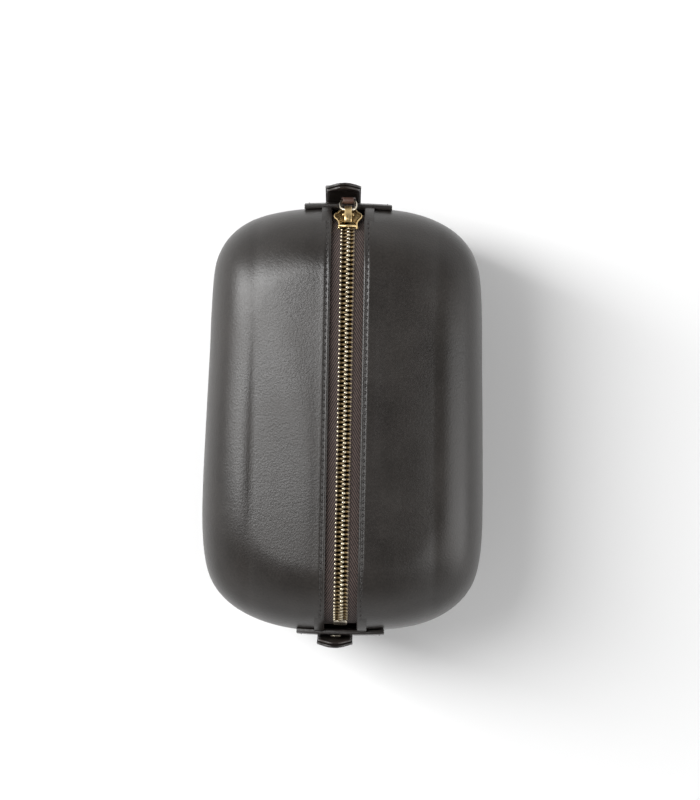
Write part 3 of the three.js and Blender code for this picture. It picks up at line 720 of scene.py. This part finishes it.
def tape_strip(name, side):
    """The tape as a closed strip with a beaded inner edge, under the teeth."""
    profile = [(3.0, 0.0), (3.15, 0.55), (3.6, 0.72), (4.05, 0.55), (4.4, 0.34), (6, 0.3), (8, 0.27),
               (10, 0.25), (13, 0.25), (TAPE_HALF, 0.25), (TAPE_HALF, -0.3), (10, -0.3), (6, -0.32),
               (4.4, -0.36), (4.05, -0.55), (3.6, -0.72), (3.15, -0.55)]
    end_s = SLOT_END_S - 1
    stations = np.linspace(-end_s, end_s, 150)
    rings = [[beside_zip(s, side * x, lift) for x, lift in profile] for s in stations]
    verts, faces = lofted(rings)
    piece = make_piece(f"tape_cloth_{name}", verts, faces, "tape")
    layer = piece.data.uv_layers.new(name="strip")
    count = len(profile)
    for loop in piece.data.loops:
        ring, place = divmod(loop.vertex_index, count)
        layer.data[loop.index].uv = (profile[place][0] / MM_UV, stations[ring] / MM_UV)
    outward(piece)
    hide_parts(f"zip_tape_{name}")
    mouth_blend(piece)


TOOTH_PROFILE = (                       # x from the middle, half length along the zip, top lift, worn polish with painted highlight
    (4.15, 0.40, 0.80, 0.1), (4.02, 0.62, 1.22, 0.5), (3.6, 0.78, 1.6, 1.0), (3.1, 0.76, 1.52, 0.3),
    (2.6, 0.9, 1.2, 0.0), (2.0, 0.86, 1.02, 0.0), (1.5, 0.76, 1.1, 0.05), (1.1, 0.74, 1.4, 0.5),
    (0.6, 0.80, 1.66, 1.0), (0.1, 0.78, 1.66, 1.0), (-0.35, 0.6, 1.45, 0.5), (-0.78, 0.25, 0.8, 0.1),
)
RIGHT_POLISH_AND_HIGHLIGHT, LEFT_POLISH_AND_HIGHLIGHT = (0.35, 1.0), (0.95, 0.12)     # at the outer head, and at the tip: painted highlight, unequal between the rows, over worn polish


def tooth_rings(s, side):
    rings = []
    for x, half, top, _ in TOOTH_PROFILE:
        section = round_section(half, top, 3.0, 12)
        rings.append([beside_zip(s + a, side * x, b) for a, b in section])
    return rings


def tooth_row(name, side):
    """One row of teeth. Their heads are painted bright: partly worn polish, partly a painted highlight that
    is stronger on the side that faces the light.
    """
    first = CHAIN_LOW + (TOOTH_PITCH / 2 if side > 0 else 0)
    spots = np.arange(first, CHAIN_HIGH, TOOTH_PITCH)
    verts, faces = joined([(tooth_rings(s, side), {}) for s in spots])
    piece = make_piece(f"teeth_{name}", verts, faces, "teeth")
    # head and tip brightness differ by row: painted highlight on the parts facing the light, over worn
    # polish
    head, tip = RIGHT_POLISH_AND_HIGHLIGHT if side > 0 else LEFT_POLISH_AND_HIGHLIGHT
    one = np.repeat([polish_and_highlight * (head if x > 2 else tip) for x, _, _, polish_and_highlight in TOOTH_PROFILE], 12)
    worn = np.concatenate([one * share for share in rng.uniform(0.75, 1.0, len(spots))])
    layer = piece.data.attributes.new("polish_and_highlight", "FLOAT", "POINT")
    layer.data.foreach_set("value", worn.astype(np.float32))
    outward(piece)
    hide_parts(f"zip_teeth_{name}")
    mouth_blend(piece)


def stop_piece(name, s, low, high, length):
    """A crimped stop: a rounded block across the tape's edge."""
    rings = []
    for t in (-1, -0.94, -0.75, 0, 0.75, 0.94, 1):
        swell = (1 - abs(t) ** 6) ** 0.5 if abs(t) < 1 else 0.35
        section = round_section((high - low) / 2 * (0.8 + 0.2 * swell), 1.55 * (0.6 + 0.4 * swell), 4, 16)
        rings.append([beside_zip(s + t * length / 2, (low + high) / 2 + a, b) for a, b in section])
    verts, faces = lofted(rings)
    piece = outward(make_piece(f"{name}_crimp", verts, faces, "brass"))
    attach(piece, "bag")
    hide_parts(name)


def bottom_strip():
    """The last teeth are crimped solid into one smooth box over the stop."""
    rings = []
    start = CHAIN_LOW - 0.9
    stations = np.linspace(start, start - 5.6, 8)
    for i, s in enumerate(stations):
        swell = 0.82 if i in (0, len(stations) - 1) else 1.0
        rings.append([beside_zip(s, a, b) for a, b in round_section(3.9 * swell, 1.6 * swell, 5, 20)])
    verts, faces = lofted(rings)
    piece = outward(make_piece("bottom_stop_box", verts, faces, "loop"))
    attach(piece, "bag")
    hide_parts("zip_bottom_stop")


# --- Slider and pull ---------------------------------------------------------------------------

SLIDER_PLACE = Matrix.Translation(Vector(beside_zip(SLIDER_S, 0, 0)) * MM) @ Matrix.Rotation(
    -SLIDER_ANGLE, 4, "X")


def on_slider(piece, body, *nodes):
    piece.data.transform(SLIDER_PLACE)
    outward(piece)
    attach(piece, body)
    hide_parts(*nodes)
    return piece


def slider_outline():
    """Shield outline: straight at the narrow end, waisted, with round shoulders and a stepped nose."""
    corners = [(-5.3, -9), (-5.3, -7.5), (-5.5, -4.6), (-6.4, -2.2), (-7.7, -0.2), (-8.0, 1.8), (-7.7, 3.6),
               (-6.3, 5.2), (-5.2, 6.6), (-4.9, 8.2), (-3.6, 9)]
    right = [(-x, y) for x, y in reversed(corners)]
    return np.array(corners + right)


def plate_rings(outline, low, high, rim, recess):
    """A plate with a rounded outside, a raised rim and a sunken middle."""
    middle = np.array([0, 0.0])

    def inset(amount):
        inward = []
        count = len(outline)
        for i in range(count):
            tangent = outline[(i + 1) % count] - outline[i - 1]
            normal = np.array([tangent[1], -tangent[0]]) / np.linalg.norm(tangent)
            if normal @ (outline[i] - middle) > 0:
                normal = -normal
            inward.append(outline[i] + normal * amount)
        return np.array(inward)

    levels = [(0.35, low), (0.0, low + 0.35), (0.0, high - 0.4), (0.3, high), (rim, high),
              (rim + 0.25, high - recess), (rim + 1.2, high - recess)]
    rings = [[(x, y, z) for x, y in inset(amount)] for amount, z in levels]
    rings.append([(x * 0.3, y * 0.3, high - recess) for x, y in outline])
    return rings


def slider_body():
    outline = slider_outline()
    sag = 9 ** 2 / (2 * PATH_RADIUS)
    top = plate_rings(outline, 1.9, 3.4, 0.75, 0.55)
    under = plate_rings(outline, -1.9 - sag - 1.5, -1.9 - sag, 0.75, 0.1)
    post = [[(x, y, z) for x, y in round_section(1.3, 1.5, 3, 12) + np.array([0, 7.0])]
            for z in (-1.9 - sag - 0.1, 2.0)]
    sides = []
    for side in (-1, 1):
        sides.append([[(side * 4.9 + a * 0.55, y, 1.35 + b * 0.75) for a, b in round_section(1, 1, 4, 8)]
                      for y in np.linspace(-8.8, -0.4, 6)])
    verts, faces = joined([(part, {}) for part in (top, under, post, *sides)])
    piece = make_piece("slider_shield", verts, faces, "brass")
    on_slider(piece, "slider", "slider_body")


def slider_bridge():
    """A flat arch over the pin, thicker at its feet."""
    rings = []
    for t in np.linspace(math.pi, 0, 25):
        foot = abs(math.cos(t)) ** 6
        centre = np.array([0, 0.9 + 6.4 * math.cos(t), 3.35 + 4.6 * math.sin(t)])
        normal = np.array([0, math.cos(t) * 4.6, math.sin(t) * 6.4])
        normal /= np.linalg.norm(normal)
        section = round_section(1.95 + 0.15 * foot, 0.55 + 0.25 * foot, 4, 16)
        rings.append([centre + np.array([a, 0, 0]) + normal * b for a, b in section])
    verts, faces = lofted(rings)
    on_slider(make_piece("slider_arch", verts, faces, "brass"), "slider", "slider_bridge")


def pull_loop():
    """The stirrup: a round-cornered ring of slightly flattened wire."""
    start, stop = LOOP_START, LOOP_END
    path = []
    for t in np.linspace(0, 2 * math.pi, 60, endpoint=False):
        c, s = math.cos(t), math.sin(t)
        x = math.copysign(abs(c) ** (2 / 2.8), c) * 4.2
        y = (start + stop) / 2 + math.copysign(abs(s) ** (2 / 3.4), s) * (stop - start) / 2
        path.append(np.array([x, y, LOOP_LIFT]))
    rings = []
    for i, p in enumerate(path):
        tangent = path[(i + 1) % len(path)] - path[i - 1]
        tangent /= np.linalg.norm(tangent)
        across = np.cross(tangent, (0, 0, 1))
        rings.append([p + across * a + np.array([0, 0, b]) for a, b in round_section(0.78, 0.74, 2.4, 12)])
    verts, faces = lofted(rings, closed=True)
    on_slider(make_piece("pull_stirrup", verts, faces, "loop"), "pull_loop", "pull_loop")


def slider_pin():
    rings = []
    for x, r in ((-3.2, 0.55), (-3.1, 0.78), (-2.6, 0.8), (2.6, 0.8), (3.1, 0.78), (3.2, 0.55)):
        rings.append([(x, a, 4.75 + b) for a, b in round_section(r, r, 2, 16)])
    verts, faces = lofted(rings)
    on_slider(make_piece("lock_pin", verts, faces, "brass"), "slider_carriage", "slider_pin")


def loop_end():
    place = SLIDER_PLACE @ (Vector((0, LOOP_END, LOOP_LIFT)) * MM)
    return np.array(place) / MM


def strap_piece():
    eye = loop_end()
    centre = np.array([0, FLAT_Y, EQUATOR])
    reach = np.linalg.norm(eye - centre)
    start = math.atan2(eye[1] - FLAT_Y, eye[2] - EQUATOR)
    stop = math.radians(89)
    inner, outer = reach - 1.65, reach - 0.45
    outward_dir = np.array([0, math.sin(start), math.cos(start)])
    down_dir = np.array([0, math.cos(start), -math.sin(start)])

    def around(radius, angle):
        return centre + radius * np.array([0, math.sin(angle), math.cos(angle)])

    path = [around(inner, a) for a in np.linspace(stop, start + 0.07, 9)]
    fold = 1.5
    for t in np.linspace(-0.5 * math.pi, 0.62 * math.pi, 12):
        path.append(eye + fold * (outward_dir * math.sin(t) - down_dir * math.cos(t)))
    path += [around(outer + 0.9 * (1 - smooth_step(k)), start + 0.1 + (stop - start - 0.1) * k)
             for k in np.linspace(0.12, 1, 9)]
    path = np.array(path)
    rings = []
    for i in range(len(path)):
        ahead, behind = path[min(i + 1, len(path) - 1)], path[max(i - 1, 0)]
        tangent = (ahead - behind) / np.linalg.norm(ahead - behind)
        normal = np.cross(tangent, (1, 0, 0))
        near_eye = smooth_step((np.linalg.norm(path[i] - eye) - 2.2) / 2.5)
        half = 3.0 + 0.95 * near_eye
        section = round_section(half, 0.42, 5, 16)
        rings.append([path[i] + np.array([a, 0, 0]) + normal * b for a, b in section])
    verts, faces = lofted(rings)
    piece = outward(make_piece("pull_strap_leather", verts, faces, "rust"))
    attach(piece, "pull_strap")
    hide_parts("pull_strap")


# --- Ends --------------------------------------------------------------------------------------

def on_end(end, x, v, offset):
    """A point on an end: v up the end's profile from the start of its rounding, offset outwards."""
    angle = max(v, 0) / END_RADIUS
    radius = END_RADIUS + offset
    bow = HALF_Y * (1 - float(end_share(x)))
    y = FLAT_Y + radius * math.cos(angle) - bow
    return np.array([x, end * y, EQUATOR + min(v, 0) + radius * math.sin(angle)])


PATCH_HIGH_V = END_RADIUS * math.asin((END_RADIUS - PATCH_TOP) / END_RADIUS)
PATCH_LOW_V = END_RADIUS - PATCH_BOTTOM
PATCH_CORNER = 9.0


def patch_half_at(v, inset=0.0):
    left = max(PATCH_CORNER - (v - PATCH_LOW_V), 0)
    radius = PATCH_CORNER - inset
    round_part = math.sqrt(max(radius ** 2 - left ** 2, 0)) if left < radius else 0
    return PATCH_HALF - PATCH_CORNER + (round_part if left > 0 else radius)


def end_patch(name, end):
    """Two plies of leather sewn together: rounded edges with a fine line between the plies."""
    rises = [0, 0.25, 0.9, 2, 3.4, 5.2, 7.2, PATCH_CORNER]
    stations = [PATCH_LOW_V + r for r in rises] + list(np.linspace(-22, PATCH_HIGH_V - 0.5, 26))
    stations += [PATCH_HIGH_V - 0.12, PATCH_HIGH_V]
    rings = []
    for v in stations:
        tip = 0.35 if v in (stations[0], stations[-1]) else 0.0
        half = patch_half_at(v) - tip
        thin = tip * 0.7
        low, high = GAP + thin, GAP + PATCH_THICK - thin
        mid = (low + high) / 2
        across = np.linspace(-1, 1, 21)
        ring = [on_end(end, half * a * (1 - 0.25 / half), v, high) for a in across]
        groove = ((low + 0.3, 0.0), (mid - 0.3, 0.0), (mid, 0.22), (mid + 0.3, 0.0), (high - 0.3, 0.0))
        for depth, inset in groove[::-1]:
            ring.append(on_end(end, half - inset, v, depth))
        ring += [on_end(end, half * a * (1 - 0.25 / half), v, low) for a in across[::-1]]
        for depth, inset in groove:
            ring.append(on_end(end, -half + inset, v, depth))
        rings.append(ring)
    verts, faces = lofted(rings)
    piece = outward(make_piece(f"patch_leather_{name}", verts, faces, "leather_dark"))
    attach(piece, "bag")
    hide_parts(f"end_patch_{name}")


def patch_stitches(name, end):
    """Stitches round the patch's sides and lower edge, set in from its border."""
    inset = 2.6
    low_v = PATCH_LOW_V + inset
    corner = PATCH_CORNER - inset
    half = PATCH_HALF - inset
    route = [(-half, v) for v in np.linspace(PATCH_HIGH_V - 2, low_v + corner, 13)]
    route += [(-half + corner - corner * math.cos(a), low_v + corner - corner * math.sin(a))
              for a in np.linspace(0, math.pi / 2, 4)[1:]]
    route += [(x, low_v) for x in np.linspace(-half + corner, half - corner, 9)[1:]]
    route += [(half - corner + corner * math.sin(a), low_v + corner - corner * math.cos(a))
              for a in np.linspace(0, math.pi / 2, 4)[1:]]
    route += [(half, v) for v in np.linspace(low_v + corner, PATCH_HIGH_V - 2, 13)[1:]]
    lift = GAP + PATCH_THICK - 0.05
    points = [on_end(end, x, v, lift) for x, v in route]
    normals = [np.array([0, end * math.cos(max(v, 0) / END_RADIUS), math.sin(max(v, 0) / END_RADIUS)])
               for _, v in route]
    verts, faces = joined(stitch_row(points, normals, 2.5, 0.6, 0.55, 0.12))
    piece = outward(make_piece(f"patch_stitches_{name}", verts, faces, "thread"))
    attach(piece, "bag")


def tab_ply(name, end, node, look, offset, half_width, top):
    """One ply of a grab tab: a tongue that is flat at its root and cupped at its round top."""
    lean = TAB_LEAN[name]
    rise = TAB_ROOT - top
    twist = 0.055 if name == "rear" else 0.0
    stations = list(np.linspace(0, 0.66, 8)) + [0.74, 0.81, 0.87, 0.92, 0.955, 0.98, 0.993, 1.0]
    rings = []
    for t in stations:
        past = max(t * rise - (rise - half_width), 0) / half_width
        half = max(half_width * math.sqrt(max(1 - past ** 2.4, 0)), 1.2)
        thin = 0.5 if t == 1.0 else (0.18 if t > 0.985 else 0.0)
        free = max(t - TAB_BEND, 0) / (1 - TAB_BEND)
        bowed = lean * min(t / TAB_BEND, 1)
        cup = TAB_CUP * free
        z = HEIGHT - TAB_ROOT + t * rise

        def point(share, depth):
            x = share * half
            y = TAB_FACE + bowed + depth - cup * (x / TAB_HALF) ** 2 + twist * x * free
            return (TAB_X + x, end * y, z)

        low, high = offset + thin, offset + TAB_PLY - thin
        across = np.linspace(-1, 1, 15)
        inset = 1 - 0.3 / half
        ring = [point(a * inset, high) for a in across] + [point(1, high - 0.35), point(1, low + 0.35)]
        ring += [point(a * inset, low) for a in across[::-1]]
        ring += [point(-1, low + 0.35), point(-1, high - 0.35)]
        rings.append(ring)
    verts, faces = lofted(rings)
    piece = outward(make_piece(f"{node}_leather", verts, faces, look))
    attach(piece, f"{name}_tab")
    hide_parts(node)


def tab_anchor(name, end):
    """The sewn root of the tab, with a box of stitches."""
    low, high = box_mm(f"tab_anchor_{name}")
    middle = (low + high) / 2
    half = (high - low) / 2
    rings = []
    for t, shrink in ((-1, 0.6), (-0.9, 0.15), (-0.7, 0.0), (0.7, 0.0), (0.9, 0.0), (1, 0.1)):
        section = round_section(half[0] - shrink, half[1] - shrink * 0.5, 12, 40)
        rings.append([(middle[0] + a, middle[1] + b, middle[2] + t * half[2]) for a, b in section])
    verts, faces = lofted(rings)
    piece = outward(make_piece(f"tab_root_{name}", verts, faces, "leather_dark"))
    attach(piece, "bag")
    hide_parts(f"tab_anchor_{name}")
    face = end * (abs(middle[1]) + half[1] - 0.05)
    a, b = half[0] - 2, half[2] - 2
    corners = [(-a, b), (-a, -b), (a, -b), (a, b), (-a, b)]
    route = []
    for (x0, z0), (x1, z1) in zip(corners, corners[1:]):
        steps = max(int(round(math.hypot(x1 - x0, z1 - z0) / 3.0)), 1)
        route += [(x0 + (x1 - x0) * k / steps, z0 + (z1 - z0) * k / steps) for k in range(steps)]
    route.append(corners[-1])
    points = [(middle[0] + x, face, middle[2] + z) for x, z in route]
    verts, faces = joined(stitch_row(points, [(0, end, 0)] * len(points), 2.3, 0.6, 0.55, 0.1))
    thread = outward(make_piece(f"tab_stitches_{name}", verts, faces, "thread"))
    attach(thread, "bag")


def patch_rivet():
    low, high = box_mm("patch_rivet")
    v = END_RADIUS * math.asin((END_RADIUS - 32.5) / END_RADIUS)
    x = (low[0] + high[0]) / 2
    seat = on_end(-1, x, v, 2 * GAP + PATCH_THICK)
    up = np.array([0, -math.cos(v / END_RADIUS), math.sin(v / END_RADIUS)])
    side = np.array([1.0, 0, 0])
    other = np.cross(up, side)
    rings = []
    for radius, height in ((2.7, -0.05), (3.0, 0.05), (3.0, 0.25), (2.85, 0.45), (2.5, 0.66), (1.9, 0.84),
                           (1.1, 0.95), (0.4, 0.99)):
        section = round_section(radius, radius, 2, 32)
        rings.append([seat + up * height + side * a + other * b for a, b in section])
    verts, faces = lofted(rings)
    piece = outward(make_piece("rivet_head", verts, faces, "loop"))
    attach(piece, "bag")
    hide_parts("patch_rivet")


# --- Base and inside ---------------------------------------------------------------------------

def full_outline(count, inset):
    half = half_outline(count // 2 + 1)
    left = half[::-1][1:-1] * np.array([-1, 1])
    return np.concatenate([half, left]) * np.array([HALF_X - inset, HALF_Y - inset])


def plate_piece(name, node, look, inset, low, high, edge):
    """A flat sheet of the base, with rounded edges."""
    rings = []
    for extra, z in ((edge, low), (edge * 0.3, low + edge * 0.3), (0, low + edge), (0, high - edge),
                     (edge * 0.3, high - edge * 0.3), (edge, high), (25, high), (60, high)):
        shrink = min(extra, 60)
        rings.append([(x, y, z) for x, y in full_outline(160, inset + shrink)])
    rings.insert(0, [(x, y, low) for x, y in full_outline(160, inset + 25)])
    verts, faces = lofted(rings)
    piece = outward(make_piece(name, verts, faces, look))
    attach(piece, "bag")
    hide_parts(node)


def base_welt():
    """A leather-covered cord round the foot."""
    low, high = box_mm("base_welt")
    middle_z = (low[2] + high[2]) / 2
    inner = FOOT_TUCK - GAP
    path = full_outline(240, inner - 1.2)
    rings = []
    for i, p in enumerate(path):
        tangent = path[(i + 1) % len(path)] - path[i - 1]
        normal = np.array([tangent[1], -tangent[0]]) / np.linalg.norm(tangent)
        rings.append([(p[0] + normal[0] * a, p[1] + normal[1] * a, middle_z + b)
                      for a, b in round_section(1.2, 1.5, 2.3, 14)])
    verts, faces = lofted(rings, closed=True)
    piece = outward(make_piece("welt_cord", verts, faces, "edge"))
    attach(piece, "bag")
    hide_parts("base_welt")


def slip_pocket():
    """A cloth pocket on the left wall. Its front bellies a little, with a faint ripple across it, and lies
    flat at its bottom edge.
    """
    low, high = box_mm("slip_pocket")
    across = np.linspace(-1, 1, 41)
    rings = []
    for z in np.linspace(low[2], high[2], 17):
        up = (z - low[2]) / (high[2] - low[2])
        half = (high[1] - low[1]) / 2
        belly = [2.2 * (1 - a * a) * smooth_step(up * 2) * (1 + 0.12 * math.sin(9 * a)) for a in across]
        front = [(high[0] - 0.3 + b, a * half, z) for a, b in zip(across, belly)]
        back = [(low[0] + b * 0.98, a * half, z) for a, b in zip(across, belly)]
        rings.append(front + back[::-1])
    verts, faces = lofted(rings)
    piece = outward(make_piece("pocket_cloth", verts, faces, "lining"))
    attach(piece, "bag")
    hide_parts("slip_pocket")
    b_low, b_high = box_mm("pocket_binding")
    rings = []
    for a in np.linspace(-1, 1, 41):
        belly = 2.2 * (1 - a * a) * (1 + 0.12 * math.sin(9 * a))
        middle = ((b_low[0] + b_high[0]) / 2 + belly, a * b_high[1], (b_low[2] + b_high[2]) / 2)
        rings.append([(middle[0] + p, middle[1], middle[2] + q)
                      for p, q in round_section(0.85, 2.0, 4, 14)])
    verts, faces = lofted(rings)
    piece = outward(make_piece("pocket_binding_strip", verts, faces, "leather_dark"))
    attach(piece, "bag")
    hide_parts("pocket_binding")


# --- Assembly ----------------------------------------------------------------------------------

make_camera()
make_studio()

for side_name, side_sign in SIDES:
    leather_half(side_name, side_sign)
    lining_half(side_name, side_sign)
    zip_stitches(side_name, side_sign)
    tape_strip(side_name, side_sign)
    tooth_row(side_name, side_sign)

TOP_STOP_S = SLIDER_S + 7.2
stop_piece("zip_top_stop_left", TOP_STOP_S, -CHAIN_HALF, -2.2, 3.0)
stop_piece("zip_top_stop_right", TOP_STOP_S, 2.2, CHAIN_HALF, 3.0)
bottom_strip()

slider_body()
slider_bridge()
slider_pin()
pull_loop()
strap_piece()

for end_name, end_sign in ENDS:
    end_patch(end_name, end_sign)
    patch_stitches(end_name, end_sign)
    tab_ply(end_name, end_sign, f"grab_tab_inner_{end_name}", "edge", 0, TAB_HALF - 0.8, TAB_TOP + 0.8)
    tab_ply(end_name, end_sign, f"grab_tab_outer_{end_name}", "leather_dark", TAB_PLY + GAP,
            TAB_HALF, TAB_TOP)
    tab_anchor(end_name, end_sign)
patch_rivet()

plate_piece("base_leather", "base_panel", "leather", FOOT_TUCK + 0.2, 0.0, 2.4, 0.6)
plate_piece("base_cloth", "base_lining", "lining", LINING_DEPTH + FOOT_TUCK, 4.6, 5.4, 0.2)
base_welt()
slip_pocket()
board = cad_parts["base_board"]
board.data.materials.clear()
board.data.materials.append(LOOKS["board"])
